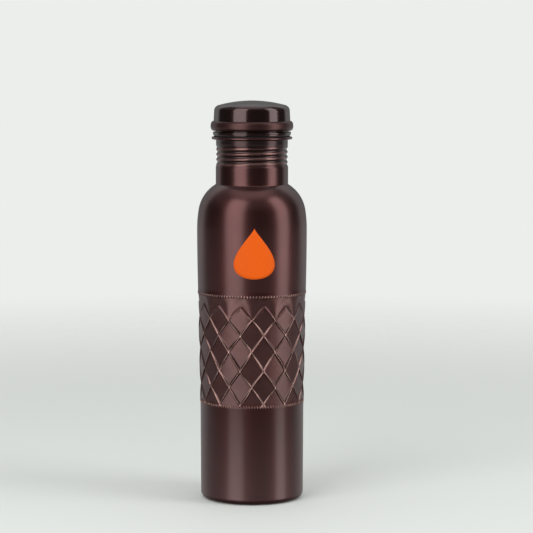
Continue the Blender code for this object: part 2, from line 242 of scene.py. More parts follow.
def oxidisedCopper(name, finish):
    # Copper browned in a sulphur bath, rubbed back and lacquered: a red-brown shine from the oxide, a paler
    # one from the lacquer, and bright copper on the ridges and crests that the buff reached.
    material, tree, shader = startMaterial(name)
    place = addNode(tree, "ShaderNodeTexCoord").outputs["Object"]
    cloud = addNode(tree, "ShaderNodeTexNoise", {
        "Vector": place, "Scale": 1 / (finish["cloudSize"] * mm), "Detail": 4.0, "Roughness": 0.55})
    grain = addNode(tree, "ShaderNodeTexNoise", {
        "Vector": place, "Scale": 1 / (finish["grainSize"] * mm), "Detail": 3.0, "Roughness": 0.6})
    spun = addNode(tree, "ShaderNodeMapping", {"Vector": place, "Scale": (0.02, 0.02, 1.0)})
    rings = addNode(tree, "ShaderNodeTexNoise", {
        "Vector": spun.outputs[0], "Scale": 1 / (finish["ringSize"] * mm), "Detail": 2.0})
    patchy = addNode(tree, "ShaderNodeMapRange", {
        "Value": cloud.outputs["Fac"], "From Min": 0.36, "From Max": 0.64})
    oxideAndShade = addNode(tree, "ShaderNodeMix", {
        0: patchy.outputs[0], 6: hexColour(finish["dark"]), 7: hexColour(finish["light"])},
        data_type="RGBA")
    ridges = addNode(tree, "ShaderNodeAttribute", attribute_name="wearAndHighlight")
    crests = addNode(tree, "ShaderNodeAttribute", attribute_name="crest")
    rubbedAndLit = addNode(tree, "ShaderNodeMath", {
        0: ridges.outputs["Fac"], 1: crests.outputs["Fac"]}, operation="MAXIMUM")
    broken = addNode(tree, "ShaderNodeMapRange", {
        "Value": grain.outputs["Fac"], "From Min": 0.3, "From Max": 0.6, "To Min": 0.45, "To Max": 1.0})
    patches = addNode(tree, "ShaderNodeTexNoise", {"Vector": place, "Scale": 1 / (9 * mm), "Detail": 1.0})
    uneven = addNode(tree, "ShaderNodeMapRange", {
        "Value": patches.outputs["Fac"], "From Min": 0.35, "From Max": 0.6, "To Min": 0.45, "To Max": 1.0})
    kept = addNode(tree, "ShaderNodeMath", {
        0: broken.outputs[0], 1: uneven.outputs[0]}, operation="MULTIPLY")
    bright = addNode(tree, "ShaderNodeMath", {
        0: rubbedAndLit.outputs[0], 1: kept.outputs[0]}, operation="MULTIPLY", use_clamp=True)
    level = addNode(tree, "ShaderNodeSeparateXYZ", {0: place}).outputs["Z"]
    # painted reflection of the pale floor: the brown turns paler towards the foot
    nearFoot = addNode(tree, "ShaderNodeMapRange", {
        "Value": level, "From Min": 8 * mm, "From Max": 80 * mm, "To Min": 1.0, "To Max": 0.0})
    floorReflectionTone = addNode(tree, "ShaderNodeMix", {
        0: nearFoot.outputs[0], 6: oxideAndShade.outputs[2], 7: hexColour(finish["floorReflectionTone"])}, data_type="RGBA")
    # painted shade: thread roots, the collar under the lip and the grooves beside the diamond ridges are mixed
    # towards the deep brown
    roots = addNode(tree, "ShaderNodeAttribute", attribute_name="oxideAndShade")
    recesses = addNode(tree, "ShaderNodeAttribute", attribute_name="recess")
    paintedShade = addNode(tree, "ShaderNodeMath", {
        0: roots.outputs["Fac"], 1: recesses.outputs["Fac"]}, operation="MAXIMUM")
    darkened = addNode(tree, "ShaderNodeMix", {
        0: paintedShade.outputs[0], 6: floorReflectionTone.outputs[2], 7: hexColour(finish["deep"])}, data_type="RGBA")
    # the copper colour marks real wear on the ridges and crests, and a painted highlight on the panes' lower slopes
    colour = addNode(tree, "ShaderNodeMix", {
        0: bright.outputs[0], 6: darkened.outputs[2], 7: hexColour(finish["wornAndHighlight"])}, data_type="RGBA")
    dullness = addNode(tree, "ShaderNodeMapRange", {
        "Value": level, "From Min": finish["dullBelow"] * mm, "From Max": finish["brightAbove"] * mm,
        "To Min": finish["roughness"], "To Max": finish["roughnessHigh"]})
    burnished = addNode(tree, "ShaderNodeAttribute", attribute_name="burnish")
    dullness = addNode(tree, "ShaderNodeMix", {
        0: burnished.outputs["Fac"], 2: dullness.outputs[0], 3: finish["burnishedRoughness"]}, data_type="FLOAT")
    height = addNode(tree, "ShaderNodeMath", {
        0: grain.outputs["Fac"], 1: rings.outputs["Fac"]}, operation="ADD")
    bump = addNode(tree, "ShaderNodeBump", {
        "Height": height.outputs[0], "Strength": finish["bump"], "Distance": 0.02 * mm})
    setShader(tree, shader, {
        "Base Color": colour.outputs[2], "Metallic": finish["metallic"], "Roughness": dullness.outputs[0],
        "Normal": bump.outputs[0], "Coat Weight": finish["lacquer"],
        "Coat Roughness": finish["lacquerRoughness"], "Coat IOR": 1.5})
    return material


def bareCopper(name, finish):
    # Copper left as it was drawn and turned: salmon-pink, with fine turning lines round the axis.
    material, tree, shader = startMaterial(name)
    place = addNode(tree, "ShaderNodeTexCoord").outputs["Object"]
    spun = addNode(tree, "ShaderNodeMapping", {"Vector": place, "Scale": (0.02, 0.02, 1.0)})
    lines = addNode(tree, "ShaderNodeTexNoise", {
        "Vector": spun.outputs[0], "Scale": 1 / (finish["lineSize"] * mm), "Detail": 3.0})
    cloud = addNode(tree, "ShaderNodeTexNoise", {
        "Vector": place, "Scale": 1 / (finish["cloudSize"] * mm), "Detail": 3.0})
    colour = addNode(tree, "ShaderNodeMix", {
        0: cloud.outputs["Fac"], 6: hexColour(finish["dark"]), 7: hexColour(finish["light"])},
        data_type="RGBA")
    dullness = addNode(tree, "ShaderNodeMapRange", {
        "Value": lines.outputs["Fac"], "To Min": finish["roughness"] - 0.08,
        "To Max": finish["roughness"] + 0.08})
    bump = addNode(tree, "ShaderNodeBump", {
        "Height": lines.outputs["Fac"], "Strength": 0.25, "Distance": 0.03 * mm})
    setShader(tree, shader, {
        "Base Color": colour.outputs[2], "Metallic": 1.0, "Roughness": dullness.outputs[0],
        "Normal": bump.outputs[0]})
    return material


def siliconeRubber(name, colour):
    # Moulded silicone: matt, with a soft bloom and a very fine grain.
    material, tree, shader = startMaterial(name)
    place = addNode(tree, "ShaderNodeTexCoord").outputs["Object"]
    grain = addNode(tree, "ShaderNodeTexNoise", {"Vector": place, "Scale": 1 / (0.4 * mm), "Detail": 3.0})
    tone = addNode(tree, "ShaderNodeMix", {
        0: grain.outputs["Fac"], 6: hexColour(colour), 7: hexColour("#1d1c1c")}, data_type="RGBA")
    bump = addNode(tree, "ShaderNodeBump", {
        "Height": grain.outputs["Fac"], "Strength": 0.3, "Distance": 0.02 * mm})
    setShader(tree, shader, {
        "Base Color": tone.outputs[2], "Roughness": 0.55, "IOR": 1.41, "Normal": bump.outputs[0]})
    return material


def screenPrint(name, colour):
    # Screen-printed enamel ink: flat and even, a little rough, with a faint weave left by the screen.
    material, tree, shader = startMaterial(name)
    place = addNode(tree, "ShaderNodeTexCoord").outputs["Object"]
    weave = addNode(tree, "ShaderNodeTexNoise", {"Vector": place, "Scale": 1 / (0.6 * mm), "Detail": 2.0})
    tone = addNode(tree, "ShaderNodeMix", {
        0: weave.outputs["Fac"], 6: hexColour(colour), 7: hexColour("#d65803")}, data_type="RGBA")
    bump = addNode(tree, "ShaderNodeBump", {
        "Height": weave.outputs["Fac"], "Strength": 0.15, "Distance": 0.02 * mm})
    setShader(tree, shader, {
        "Base Color": tone.outputs[2], "Roughness": 0.6, "IOR": 1.25, "Normal": bump.outputs[0]})
    return material


# deep is the brown of the painted shade in the thread roots, under the lip and beside the ridges
browned = {
    "deep": "#150807", "cloudSize": 30, "grainSize": 0.7, "ringSize": 0.5, "metallic": 0.9,
    "dullBelow": 50, "brightAbove": 225, "burnishedRoughness": 0.2}
# the satin finish's paler tone near the foot is a painted reflection of the floor
satinCopper = oxidisedCopper("antique copper, satin lacquer", {
    **browned, "dark": "#462423", "light": "#4d2725", "wornAndHighlight": "#b48c82", "floorReflectionTone": "#5c3d3c",
    "roughness": 0.52, "roughnessHigh": 0.26, "bump": 0.10, "lacquer": 0.5, "lacquerRoughness": 0.24})
glossCopper = oxidisedCopper("antique copper, gloss lacquer", {
    **browned, "dark": "#341f1e", "light": "#3a2322", "wornAndHighlight": "#8c655c", "floorReflectionTone": "#3a2322",
    "roughness": 0.22, "roughnessHigh": 0.22, "bump": 0.04, "lacquer": 0.75, "lacquerRoughness": 0.09})
brushedCopper = oxidisedCopper("antique copper, brushed hem", {
    **browned, "dark": "#40221f", "light": "#472624", "wornAndHighlight": "#8c655c", "floorReflectionTone": "#3a2322",
    "roughness": 0.38, "roughnessHigh": 0.38, "bump": 0.08, "lacquer": 0.4, "lacquerRoughness": 0.34})
drawnCopper = bareCopper("bare drawn copper", {
    "dark": "#b8694a", "light": "#d98c6a", "lineSize": 0.35, "cloudSize": 16, "roughness": 0.32})
blackSilicone = siliconeRubber("black silicone rubber", "#111010")
orangeInk = screenPrint("orange screen-printed ink", "#c94c00")
print("materials made")


# The bottle

bottle = {
    "wall": 0.7, "around": 192,
    "baseRadius": 34.9, "baseCorner": 3.9, "footRadius": 24.0, "recess": 1.5, "recessRadius": 17.0,
    "bandBottom": 66.7, "bandTop": 141.0, "bandBottomRadius": 35.2, "bandTopRadius": 36.5,
    "upperWallRadius": 36.7, "shoulderStart": 184.0, "bodyRadius": 37.25,
    "rollHeight": 13.0, "rollRadius": 82.0, "neckBase": 214.2, "neckRadius": 24.5, "neckFillet": 1.0,
    "threadStart": 226.6, "threadPitch": 3.45, "threadTurns": 4, "threadDepth": 0.6,
    "crestRadius": 24.25, "collarRadius": 24.3, "lipRadius": 27.3, "lipThickness": 1.9, "lipRound": 0.85,
    "diamondColumns": 14, "rowSpacing": 11.44,
    "rowHeights": (67.8, 79.5, 90.9, 103.6, 114.4, 125.4, 134.2, 142.5)}  # laid out one by one, so not quite even


def bandRadius(height):
    share = (height - bottle["bandBottom"]) / (bottle["bandTop"] - bottle["bandBottom"])
    return bottle["bandBottomRadius"] + (bottle["bandTopRadius"] - bottle["bandBottomRadius"]) * share


def shoulderLine(inset):
    # two arcs, the second one tangent to the first and running on to the neck
    b = bottle
    rollAngle = math.asin(b["rollHeight"] / b["rollRadius"])
    rollCentre = b["bodyRadius"] - b["rollRadius"]
    meet = Vector((rollCentre + b["rollRadius"] * math.cos(rollAngle), b["shoulderStart"] + b["rollHeight"]))
    outward = Vector((math.cos(rollAngle), math.sin(rollAngle)))
    along = Vector((b["neckRadius"], b["neckBase"])) - meet
    radius = -along.length_squared / (2 * along.dot(outward))
    centre = meet - outward * radius
    endCosine = (b["neckRadius"] + b["neckFillet"] * 0.6 - inset - centre.x) / (radius - inset)
    roll = arcPoints((rollCentre, b["shoulderStart"]), b["rollRadius"] - inset, 0, math.degrees(rollAngle), 6)
    fall = arcPoints(centre, radius - inset, math.degrees(rollAngle), math.degrees(math.acos(endCosine)), 18)
    corner = (b["neckRadius"] - inset, fall[-1][1] + b["neckFillet"] * 0.9)
    fillet = [(fall[-1][0] * (1 - t) ** 2 + (corner[0] + 0.05) * 2 * t * (1 - t) + corner[0] * t ** 2,
               fall[-1][1] * (1 - t) ** 2 + (fall[-1][1] + 0.3) * 2 * t * (1 - t) + corner[1] * t ** 2)
              for t in (0.33, 0.66, 1.0)]
    return roll + fall[1:] + fillet


def lowerLine(inset):
    # from the pressed-up middle of the base over the foot and the corner, to the lower milled line
    b = bottle
    corners = [(0.5, b["recess"] + inset), (b["recessRadius"], b["recess"] + inset, 6.0),
               (b["footRadius"], inset, 3.0 + inset), (b["baseRadius"] - inset, inset, b["baseCorner"] - inset),
               (b["bandBottomRadius"] - inset, b["bandBottom"] - 1.2)]
    return roundedLine(corners, 9)


def neckLine(inset, threadRows):
    b = bottle
    threadEnd = b["threadStart"] + b["threadPitch"] * b["threadTurns"]
    crest = b["crestRadius"] - inset
    line = [(b["neckRadius"] - inset, b["threadStart"] - 0.9), (crest + 0.1, b["threadStart"] - 0.3)]
    line += evenLevels(crest, b["threadStart"], threadEnd, threadRows)
    return line


def lipLine():
    # the rim is rolled outwards, so its edge is round and its underside meets the collar in a small curve
    b = bottle
    top = bodyHigh.z
    bore = b["crestRadius"] - b["wall"]
    return roundedLine([
        (b["collarRadius"], top - 4.0), (b["collarRadius"], top - b["lipThickness"], 0.5),
        (b["lipRadius"], top - b["lipThickness"] + 0.1, b["lipRound"]), (b["lipRadius"], top, b["lipRound"]),
        (bore, top, 0.6), (bore, top - 2.5)], 12)


def bandLattice(mesh, low, high):
    # A mesh whose lines run along the ridges, closely spaced beside them. It wraps once round the bottle,
    # and the two milled lines' levels cut it straight.
    b = bottle
    near = [0.0, 0.014, 0.028, 0.042, 0.057, 0.073, 0.092, 0.118, 0.16, 0.235, 0.345]
    steps = near + [0.5] + [1 - value for value in reversed(near[1:])]
    perCell, cells = len(steps), b["diamondColumns"]

    def lineAt(index):
        return index // perCell + steps[index % perCell]

    def heightAt(row):
        rows = b["rowHeights"]
        whole = min(max(math.floor(row), 0), len(rows) - 2)
        if row < 0:
            return rows[0] + row * b["rowSpacing"]
        return rows[whole] + (row - whole) * (rows[whole + 1] - rows[whole])

    reach = (len(b["rowHeights"]) + 2) * perCell
    rowLayer = mesh.verts.layers.float.new("row")
    spots = {}
    for second in range(cells * perCell):
        for first in range(second - perCell, second + reach):
            row = lineAt(first) - lineAt(second)
            height = heightAt(row)
            if not low - 3 < height < high + 3:
                continue
            angle = (lineAt(first) + lineAt(second) - 1) / 2 * math.tau / cells
            radius = bandRadius(height) * mm
            spot = mesh.verts.new((math.sin(angle) * radius, -math.cos(angle) * radius, height * mm))
            spot[rowLayer] = row
            spots[first, second] = spot

    def wrapped(first, second):
        if second < cells * perCell:
            return spots.get((first, second))
        return spots.get((first - cells * perCell, second - cells * perCell))

    for first, second in list(spots):
        corners = [wrapped(first, second), wrapped(first + 1, second),
                   wrapped(first + 1, second + 1), wrapped(first, second + 1)]
        if None not in corners:
            mesh.faces.new(corners)
    rings = []
    for level, side in ((low, 1), (high, -1)):
        cut = bmesh.ops.bisect_plane(
            mesh, geom=mesh.verts[:] + mesh.edges[:] + mesh.faces[:], plane_co=(0, 0, level * mm),
            plane_no=(0, 0, side), clear_inner=True, dist=1e-6)["geom_cut"]
        ring = [item for item in cut if isinstance(item, bmesh.types.BMVert)]
        rings.append(sorted(ring, key=angleOf))
    return rings


def bottleShell():
    b = bottle
    mesh = bmesh.new()
    insideLayer = mesh.faces.layers.int.new("inside")
    low, high = b["bandBottom"] - 0.4, b["bandTop"] - 0.6
    lowRing, highRing = bandLattice(mesh, low, high)
    below = lowerLine(0) + [(b["bandBottomRadius"] + 0.12, b["bandBottom"] - 0.9)]
    first = ringOf(mesh, *below[0], b["around"])
    zipRings(mesh, turnLine(mesh, below[1:], b["around"], first), lowRing)
    above = [(b["bandTopRadius"] + 0.1, b["bandTop"] - 0.3), (b["upperWallRadius"] + 0.12, b["bandTop"] + 0.1),
             (b["upperWallRadius"] + 0.12, b["bandTop"] + 0.9), (b["upperWallRadius"], b["bandTop"] + 1.3)]
    above += evenLevels(0, b["bandTop"] + 4, b["shoulderStart"] - 4, 12)
    above = [(radius or b["upperWallRadius"] + (b["bodyRadius"] - b["upperWallRadius"]) *
              math.sin((height - b["bandTop"]) / (b["shoulderStart"] - b["bandTop"]) * math.pi / 2), height)
             for radius, height in above]
    above += shoulderLine(0) + neckLine(0, 64) + lipLine()
    inside = lowerLine(b["wall"]) + [(b["bandBottomRadius"] - 2.2, b["bandBottom"] + 2),
                                     (b["bandTopRadius"] - 2.2, b["bandTop"] - 2),
                                     (b["upperWallRadius"] - b["wall"], b["bandTop"] + 2)]
    inside += shoulderLine(b["wall"]) + neckLine(b["wall"], 40)
    rim = turnLine(mesh, above, b["around"], highRing)
    closeCentre(mesh, first, below[0][1])
    outsideFaces = len(mesh.faces)
    closeCentre(mesh, turnLine(mesh, inside[::-1], b["around"], rim), inside[0][1])
    for face in mesh.faces[outsideFaces:]:
        face[insideLayer] = 1
    return finishItem("bottle", mesh, 50)


def shapeWall(tree, known, stored):
    # moves the points away from the axis by "push" and stores the named results on them for the material
    flat = addNode(tree, "ShaderNodeCombineXYZ", {0: known["x"], 1: known["y"], 2: 0.0})
    outward = addNode(tree, "ShaderNodeVectorMath", {0: flat.outputs[0]}, operation="NORMALIZE")
    offset = addNode(tree, "ShaderNodeVectorMath", {
        0: outward.outputs[0], "Scale": known["push"]}, operation="SCALE")
    geometry = addNode(tree, "GeometryNodeSetPosition", {
        "Geometry": known["Geometry"], "Offset": offset.outputs[0]}).outputs[0]
    for name in stored:
        geometry = addNode(tree, "GeometryNodeStoreNamedAttribute", {
            "Geometry": geometry, "Name": name, "Value": known[name]}, data_type="FLOAT", domain="POINT").outputs[0]
    endTree(tree, geometry, known["Material"])
    return tree


def diamondTree():
    # Presses diamond panes into the wall between raised ridges, and soft arches above the last row of panes.
    # The mesh brings its row number, which is 0, 1, 2 and so on at the crossings of the ridges. A pane is
    # known by the two families of ridge lines, leaning right and leaning left, that it lies between.
    tree, inputs = startTree("embossDiamonds", {
        "Geometry": "Geometry", "Material": "Material", "Columns": "Float", "Band Radius": "Float",
        "Ridge Spacing": "Float", "Ridge Rise": "Float", "Ridge Width": "Float", "Groove Depth": "Float",
        "Pane Depth": "Float", "Pane Flatness": "Float", "Pane Tilt": "Float", "Band Low": "Float",
        "Band High": "Float", "Last Row": "Float", "Arch Rows": "Float", "Arch Depth": "Float",
        "Groove Shade": "Float", "Hand Sway": "Float", "Seed": "Int"})
    place = addNode(tree, "GeometryNodeInputPosition").outputs[0]
    hand = addNode(tree, "ShaderNodeTexNoise", {"Vector": place, "Scale": 1 / (11 * mm), "Detail": 0.0})
    known = {socket.name: socket for socket in inputs}
    known["row"] = addNode(tree, "GeometryNodeInputNamedAttribute", {"Name": "row"}, data_type="FLOAT").outputs[0]
    for names, vector in ((("x", "y", "z"), place), (("handX", "handY", "handZ"), hand.outputs["Color"])):
        known.update(zip(names, addNode(tree, "ShaderNodeSeparateXYZ", {0: vector}).outputs))
    workOut(tree, known, (
        ("back", "MULTIPLY", "y", -1.0), ("angle", "ARCTAN2", "x", "back"),
        ("perTurn", "DIVIDE", "Columns", math.tau), ("turns", "MULTIPLY_ADD", "angle", "perTurn", 0.5),
        ("evenRight", "MULTIPLY_ADD", "row", 0.5, "turns"),
        ("evenLeft", "MULTIPLY_ADD", "row", -0.5, "turns"), ("handRight", "SUBTRACT", "handX", 0.5),
        ("handLeft", "SUBTRACT", "handY", 0.5),
        ("leanRight", "MULTIPLY_ADD", "handRight", "Hand Sway", "evenRight"),
        ("leanLeft", "MULTIPLY_ADD", "handLeft", "Hand Sway", "evenLeft"),
        ("nearRight", "PINGPONG", "leanRight", 0.5), ("nearLeft", "PINGPONG", "leanLeft", 0.5),
        ("nearest", "SMOOTH_MIN", "nearRight", "nearLeft", 0.06), ("nearRidge", "MAXIMUM", "nearest", 0.0),
        ("edge", "MULTIPLY", "nearRidge", "Ridge Spacing"), ("alongRight", "FRACT", "leanRight"),
        ("alongLeft", "FRACT", "leanLeft"), ("along", "ADD", "alongRight", "alongLeft"),
        ("across", "SUBTRACT", "along", 1.0), ("upward", "SUBTRACT", "alongRight", "alongLeft"),
        ("cellRight", "FLOOR", "leanRight"), ("cellLeft", "FLOOR", "leanLeft"),
        ("cellRow", "SUBTRACT", "cellRight", "cellLeft"), ("cellSum", "ADD", "cellRight", "cellLeft"),
        ("wrap", "MULTIPLY", "Columns", 2.0), ("cellAround", "FLOORED_MODULO", "cellSum", "wrap")))
    cell = addNode(tree, "ShaderNodeCombineXYZ", {0: known["cellAround"], 1: known["cellRow"], 2: known["Seed"]})
    dice = addNode(tree, "ShaderNodeTexWhiteNoise", {"Vector": cell.outputs[0]}, noise_dimensions="3D")
    chances = addNode(tree, "ShaderNodeSeparateXYZ", {0: dice.outputs["Color"]}).outputs
    known.update(zip(("chanceSide", "chanceUp", "chanceDepth"), chances))
    workOut(tree, known, (
        # how deep a pane lies: flatter than the wall, with a small tilt and depth of its own
        ("halfPane", "DIVIDE", math.pi, "Columns"), ("sideAngle", "MULTIPLY", "across", "halfPane"),
        ("sideSquare", "MULTIPLY", "sideAngle", "sideAngle"),
        ("chord", "MULTIPLY", "sideSquare", "Band Radius"),
        ("flattened", "MULTIPLY", "chord", "Pane Flatness"), ("lift", "MULTIPLY", "flattened", 0.5),
        ("leanSide", "SUBTRACT", "chanceSide", 0.5), ("leanUp", "SUBTRACT", "chanceUp", 0.5),
        ("tiltSide", "MULTIPLY", "across", "leanSide"),
        ("tiltBoth", "MULTIPLY_ADD", "upward", "leanUp", "tiltSide"),
        ("tilted", "MULTIPLY_ADD", "tiltBoth", "Pane Tilt", "lift"),
        ("level", "SUBTRACT", "tilted", "Pane Depth"), ("share", "MULTIPLY_ADD", "chanceDepth", 0.35, 0.8),
        ("sunk", "MULTIPLY", "level", "share"),
        # the lower edges of a pane slope gently and have a groove, the upper edges are steeper, and those of
        # the last row of panes are soft
        ("pastLast", "SUBTRACT", "row", "Last Row"), ("climb", "DIVIDE", "pastLast", "Arch Rows"),
        ("overLast", "RAMP", "climb", 0.0, 0.2), ("restLeft", "SUBTRACT", 1.0, "alongLeft"),
        ("restRight", "SUBTRACT", 1.0, "alongRight"), ("lowerSide", "MINIMUM", "alongRight", "restLeft"),
        ("upperSide", "MINIMUM", "restRight", "alongLeft"),
        ("lowness", "SUBTRACT", "upperSide", "lowerSide"), ("atLower", "RAMP", "lowness", -0.02, 0.04),
        ("halfRidge", "MULTIPLY", "Ridge Width", 0.5), ("reachBelow", "MULTIPLY_ADD", "atLower", 1.9, 1.6),
        ("reach", "MULTIPLY_ADD", "overLast", 2.4, "reachBelow"),
        ("slopeStart", "MULTIPLY", "halfRidge", 0.3), ("slopeEnd", "MULTIPLY", "halfRidge", "reach"),
        ("inPane", "RAMP", "edge", "slopeStart", "slopeEnd"), ("besideRidge", "SUBTRACT", 1.0, "inPane"),
        ("onRidge", "RAMP", "edge", 0.0, "halfRidge", 1.0, 0.0),
        ("grooveLine", "MULTIPLY", "halfRidge", 2.0), ("grooveReach", "MULTIPLY", "halfRidge", 1.4),
        ("grooveSide", "SUBTRACT", "edge", "grooveLine"), ("fromGroove", "ABSOLUTE", "grooveSide"),
        ("groove", "RAMP", "fromGroove", 0.0, "grooveReach", 1.0, 0.0),
        # above the last crossings the ridges fade out and arches stand round the top panes
        ("climbTop", "MINIMUM", "climb", 1.0), ("climbed", "MAXIMUM", "climbTop", 0.0),
        ("archCurve", "POWER", "climbed", 2.4), ("archRest", "SUBTRACT", 1.0, "archCurve"),
        ("archRound", "SQRT", "archRest"), ("archHalf", "MULTIPLY", "archRound", 0.42),
        ("fromColumn", "PINGPONG", "turns", 0.5), ("archSide", "SUBTRACT", "archHalf", "fromColumn"),
        ("arch", "RAMP", "archSide", -0.1, 0.12), ("firstAbove", "ADD", "Last Row", 0.5),
        ("aboveLast", "GREATER_THAN", "cellRow", "firstAbove"), ("inRows", "SUBTRACT", 1.0, "aboveLast"),
        ("secondAbove", "ADD", "Last Row", 1.5), ("farAbove", "GREATER_THAN", "cellRow", "secondAbove"),
        ("fadeSoon", "RAMP", "climb", 0.0, 0.3, 1.0, 0.05),
        ("fadeAll", "RAMP", "climb", 0.55, 0.72, 1.0, 0.0), ("faint", "MULTIPLY", "fadeSoon", "fadeAll"),
        ("lowerEdge", "MULTIPLY", "lowerSide", "Ridge Spacing"),
        ("wideSlope", "MULTIPLY", "halfRidge", 3.0),
        ("awayFromPane", "RAMP", "lowerEdge", 0.0, "wideSlope"),
        ("besidePane", "MAXIMUM", "awayFromPane", "farAbove"),
        # the band's limits, and only the outside of the wall
        ("lowEnd", "ADD", "Band Low", 0.7 * mm), ("highStart", "SUBTRACT", "Band High", 1.0 * mm),
        ("insideLow", "RAMP", "z", "Band Low", "lowEnd"),
        ("insideHigh", "RAMP", "z", "highStart", "Band High", 1.0, 0.0), ("xx", "MULTIPLY", "x", "x"),
        ("xxyy", "MULTIPLY_ADD", "y", "y", "xx"), ("fromAxis", "SQRT", "xxyy"),
        ("innerLimit", "SUBTRACT", "Band Radius", 1.4 * mm),
        ("outside", "GREATER_THAN", "fromAxis", "innerLimit"),
        ("between", "MULTIPLY", "insideLow", "insideHigh"), ("inBand", "MULTIPLY", "between", "outside"),
        # everything together
        ("ridgeLine", "MULTIPLY", "onRidge", "faint"), ("ridgeRise", "MULTIPLY", "ridgeLine", "Ridge Rise"),
        ("grooveShare", "MULTIPLY_ADD", "atLower", 0.8, 0.2),
        ("grooved", "MULTIPLY", "groove", "grooveShare"), ("groovedRows", "MULTIPLY", "grooved", "inRows"),
        ("grooveFaint", "MULTIPLY", "groovedRows", "faint"),
        ("grooveDrop", "MULTIPLY", "grooveFaint", "Groove Depth"),
        ("paneRows", "MULTIPLY", "inPane", "inRows"),
        ("paneDrop", "MULTIPLY_ADD", "paneRows", "sunk", "ridgeRise"),
        ("besideArch", "MULTIPLY", "besidePane", "aboveLast"),
        ("borderRows", "MULTIPLY", "besideRidge", "inRows"),
        ("borderOver", "MULTIPLY", "borderRows", "overLast"),
        ("archBoth", "MULTIPLY_ADD", "borderOver", 0.6, "besideArch"),
        ("archPart", "MULTIPLY", "archBoth", "arch"),
        ("drop", "MULTIPLY_ADD", "archPart", "Arch Depth", "grooveDrop"),
        ("total", "SUBTRACT", "paneDrop", "drop"), ("push", "MULTIPLY", "total", "inBand"),
        # where the buff rubbed the brown away on the ridges, a painted highlight of copper colour on the panes'
        # lower slopes, and where the buff left a smoother shine
        ("slopeFade", "RAMP", "edge", 0.0, "slopeEnd", 1.0, 0.0),
        ("sloped", "MULTIPLY", "slopeFade", "faint"), ("lowerSlope", "MULTIPLY", "sloped", "atLower"),
        # painted highlight: the lower slopes of the panes, which face up to the lights, get a share of the copper
        # colour
        ("slopeHighlight", "MULTIPLY", "lowerSlope", 0.4), ("peakWearAndHighlight", "MAXIMUM", "ridgeLine", "slopeHighlight"),
        ("bandWearAndHighlight", "ADD", "peakWearAndHighlight", 0.07), ("wearAndHighlight", "MULTIPLY", "bandWearAndHighlight", "inBand"),
        ("burnish", "MULTIPLY", "sloped", "inBand"),
        # painted shade: the panes are darkened along the grooves beside the ridges
        ("shadedFaint", "MULTIPLY", "groovedRows", "faint"), ("shadedBand", "MULTIPLY", "shadedFaint", "inBand"),
        ("recess", "MULTIPLY", "shadedBand", "Groove Shade")))
    return shapeWall(tree, known, ("wearAndHighlight", "burnish", "recess"))


def threadTree():
    # A rolled thread: rounded crests and roots, faded at both ends. Raised 0 keeps the crests where the wall
    # was and sinks the roots, and Raised 1 keeps the roots and lifts the crests.
    tree, inputs = startTree("rollThread", {
        "Geometry": "Geometry", "Material": "Material", "Start": "Float", "End": "Float", "Pitch": "Float",
        "Depth": "Float", "Raised": "Float", "Rubbed": "Float", "Painted Shade": "Float", "Collar End": "Float"})
    known = {socket.name: socket for socket in inputs}
    place = addNode(tree, "GeometryNodeInputPosition").outputs[0]
    known.update(zip(("x", "y", "z"), addNode(tree, "ShaderNodeSeparateXYZ", {0: place}).outputs))
    workOut(tree, known, (
        ("back", "MULTIPLY", "y", -1.0), ("angle", "ARCTAN2", "x", "back"),
        ("turn", "DIVIDE", "angle", math.tau), ("height", "SUBTRACT", "z", "Start"),
        ("climb", "DIVIDE", "height", "Pitch"), ("helix", "SUBTRACT", "climb", "turn"),
        ("shifted", "ADD", "helix", 0.5), ("fromCrest", "PINGPONG", "shifted", 0.5),
        ("sunk", "RAMP", "fromCrest", 0.0, 0.48), ("left", "SUBTRACT", "End", "z"),
        ("toEnd", "MINIMUM", "height", "left"), ("halfPitch", "MULTIPLY", "Pitch", 0.5),
        ("share", "DIVIDE", "toEnd", "halfPitch"), ("shareTop", "MINIMUM", "share", 1.0),
        ("fade", "MAXIMUM", "shareTop", 0.0), ("depth", "MULTIPLY", "Depth", "fade"),
        ("lift", "SUBTRACT", "Raised", "sunk"), ("push", "MULTIPLY", "depth", "lift"),
        ("onCrest", "SUBTRACT", 1.0, "sunk"), ("crestLine", "POWER", "onCrest", 1.5),
        ("faded", "MULTIPLY", "crestLine", "fade"), ("crest", "MULTIPLY", "faded", "Rubbed"),
        # painted shade: the roots and the collar above the thread are darkened, where the crests and the lip shade
        # them
        ("root", "MULTIPLY", "sunk", "fade"), ("collarStart", "SUBTRACT", "End", "halfPitch"),
        ("collar", "RAMP", "z", "collarStart", "End"), ("belowLip", "LESS_THAN", "z", "Collar End"),
        ("collarOnly", "MULTIPLY", "collar", "belowLip"), ("paintedShade", "MAXIMUM", "root", "collarOnly"),
        ("oxideAndShade", "MULTIPLY", "paintedShade", "Painted Shade")))
    return shapeWall(tree, known, ("crest", "oxideAndShade"))


# the diamonds also paint shade along the grooves beside their ridges
emboss = {
    "Columns": float(bottle["diamondColumns"]), "Band Radius": 35.7 * mm, "Ridge Spacing": 13.15 * mm,
    "Ridge Rise": 0.22 * mm, "Ridge Width": 0.95 * mm, "Groove Depth": 0.14 * mm, "Pane Depth": 0.6 * mm,
    "Pane Flatness": 0.7, "Pane Tilt": 0.3 * mm, "Band Low": (bottle["bandBottom"] - 0.4) * mm,
    "Band High": (bottle["bandTop"] - 0.6) * mm, "Last Row": 5.0, "Arch Rows": 1.6, "Arch Depth": 0.42 * mm,
    "Groove Shade": 0.9, "Hand Sway": 0.1, "Seed": 7, "Material": satinCopper}
rolled = threadTree()
